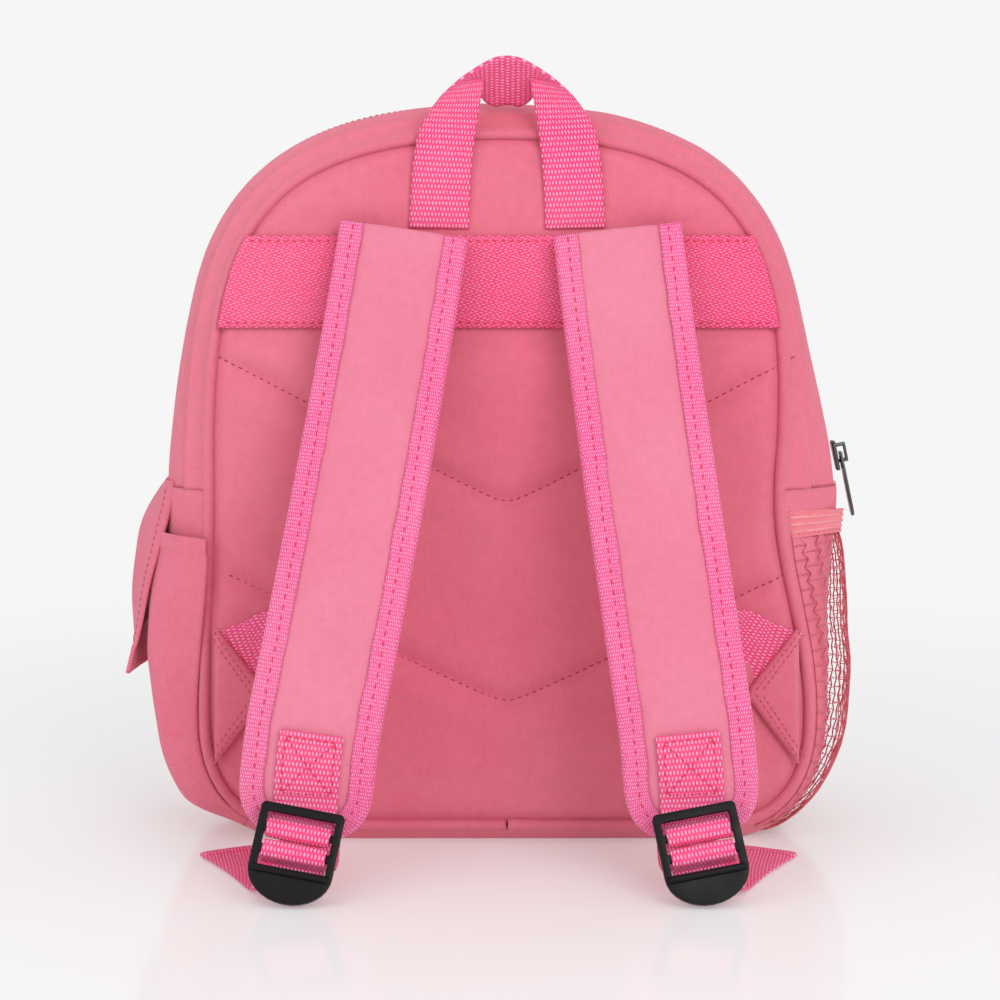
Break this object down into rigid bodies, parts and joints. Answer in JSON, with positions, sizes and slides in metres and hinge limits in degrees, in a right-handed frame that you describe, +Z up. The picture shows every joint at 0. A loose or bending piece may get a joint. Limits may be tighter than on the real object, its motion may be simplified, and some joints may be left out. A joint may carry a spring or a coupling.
{
  "type": "school backpack",
  "caption": "Child's pink school backpack with padded back, webbing-trimmed shoulder straps, carry handle, arched zip, flap pocket and mesh side pocket.",
  "frame": {"origin": "middle of the flat base, on the floor", "axes": "+Z up, X across the shoulders with the flap pocket at -X, the shoulder straps on the -Y side and the front pocket on the +Y side"},
  "size_m": [0.321, 0.2141, 0.3301],
  "materials": {
    "body_cloth": "fine pink oxford weave",
    "gusset_cloth": "the same weave in a lighter light",
    "strap_cloth": "smooth light pink twill",
    "binding_tape": "ribbed hot pink binding tape",
    "webbing": "coarse hot pink webbing with pale glints",
    "lining": "thin plain lining",
    "foam": "closed foam sheet",
    "board": "thin stiffening board",
    "zip_tape": "woven zip tape with moulded coil",
    "gunmetal": "dark plated metal",
    "hook_and_loop": "hook and loop tape",
    "net": "open knitted net",
    "elastic": "ribbed elastic",
    "black_plastic": "moulded black acetal"
  },
  "bodies": {
    "bag": {"back_panel_cover": "body_cloth", "back_panel_foam": "foam", "back_panel_lining": "lining", "back_piping": "body_cloth", "yoke_band": "webbing", "zip_gusset_rear": "gusset_cloth", "main_zip_rear": "zip_tape", "lower_gusset": "gusset_cloth", "lower_gusset_lining": "lining", "base_board": "board", "zip_end_left": "gusset_cloth", "zip_end_right": "gusset_cloth", "front_panel_lower": "body_cloth", "front_lining_lower": "lining", "front_piping_lower": "body_cloth", "front_pocket_gusset": "gusset_cloth", "front_pocket_panel": "body_cloth", "front_pocket_top_strip": "body_cloth", "front_zip_lower": "zip_tape", "front_zip_upper": "zip_tape", "side_pocket_pouch": "body_cloth", "side_pocket_loop_patch": "hook_and_loop", "mesh_pocket_net": "net", "mesh_pocket_elastic": "elastic", "corner_tab_left": "body_cloth", "corner_tab_right": "body_cloth"},
    "front_flap": {"front_panel_upper": "body_cloth", "front_lining_upper": "lining", "front_piping_upper": "body_cloth", "zip_gusset_front": "gusset_cloth", "main_zip_front": "zip_tape"},
    "main_slider": {"main_slider": "gunmetal"},
    "main_puller": {"main_puller": "gunmetal"},
    "front_slider": {"front_slider": "gunmetal"},
    "front_puller": {"front_puller": "gunmetal"},
    "pocket_flap": {"side_pocket_flap": "body_cloth", "side_pocket_hook_patch": "hook_and_loop"},
    "handle": {"handle_loop": "webbing"},
    "left_strap": {"strap_foam_left": "foam", "strap_face_left": "strap_cloth", "strap_backing_left": "lining", "strap_binding_left": "binding_tape", "lock_tab_patch_left": "webbing", "lower_webbing_left": "webbing", "webbing_tail_left": "webbing"},
    "left_lock": {"ladder_lock_left": "black_plastic", "lock_tab_loop_left": "webbing", "adjuster_loop_left": "webbing"},
    "right_strap": {"strap_foam_right": "foam", "strap_face_right": "strap_cloth", "strap_backing_right": "lining", "strap_binding_right": "binding_tape", "lock_tab_patch_right": "webbing", "lower_webbing_right": "webbing", "webbing_tail_right": "webbing"},
    "right_lock": {"ladder_lock_right": "black_plastic", "lock_tab_loop_right": "webbing", "adjuster_loop_right": "webbing"}
  },
  "joints": [
    {"name": "front_flap_fold", "type": "hinge", "parent": "bag", "child": "front_flap", "pos_m": [0, 0.0475, 0.15], "axis": [-1, 0, 0], "range_deg": [0, 60]},
    {"name": "main_slider_run", "type": "slide", "parent": "bag", "child": "main_slider", "axis": [-0.2099, 0, 0.9777], "range_m": [0, 0.055]},
    {"name": "main_puller_swing", "type": "hinge", "parent": "main_slider", "child": "main_puller", "pos_m": [0.14499, 0, 0.16127], "axis": [0, -1, 0], "range_deg": [0, 100]},
    {"name": "front_slider_run", "type": "slide", "parent": "bag", "child": "front_slider", "axis": [1, 0, 0], "range_m": [0, 0.18]},
    {"name": "front_puller_swing", "type": "hinge", "parent": "front_slider", "child": "front_puller", "pos_m": [-0.092, 0.0672, 0.1232], "axis": [1, 0, 0], "range_deg": [0, 100]},
    {"name": "pocket_flap_lift", "type": "hinge", "parent": "bag", "child": "pocket_flap", "pos_m": [-0.1456, 0, 0.1565], "axis": [0, 1, 0], "range_deg": [0, 120]},
    {"name": "handle_fold", "type": "hinge", "parent": "bag", "child": "handle", "pos_m": [0, -0.047, 0.2645], "axis": [1, 0, 0], "range_deg": [0, 45], "stiffness_Nm_per_rad": 0.2},
    {"name": "left_strap_swing", "type": "hinge", "parent": "bag", "child": "left_strap", "pos_m": [-0.042, -0.0482, 0.263], "axis": [-1, 0, 0], "range_deg": [0, 12]},
    {"name": "left_lock_tilt", "type": "hinge", "parent": "left_strap", "child": "left_lock", "pos_m": [-0.079, -0.124, 0.0354], "axis": [-0.9816, 0.0806, 0.1729], "range_deg": [0, 30]},
    {"name": "right_strap_swing", "type": "hinge", "parent": "bag", "child": "right_strap", "pos_m": [0.045, -0.0482, 0.263], "axis": [-1, 0, 0], "range_deg": [0, 12]},
    {"name": "right_lock_tilt", "type": "hinge", "parent": "right_strap", "child": "right_lock", "pos_m": [0.072, -0.124, 0.0354], "axis": [-0.9816, -0.0806, -0.1729], "range_deg": [0, 30]}
  ]
}
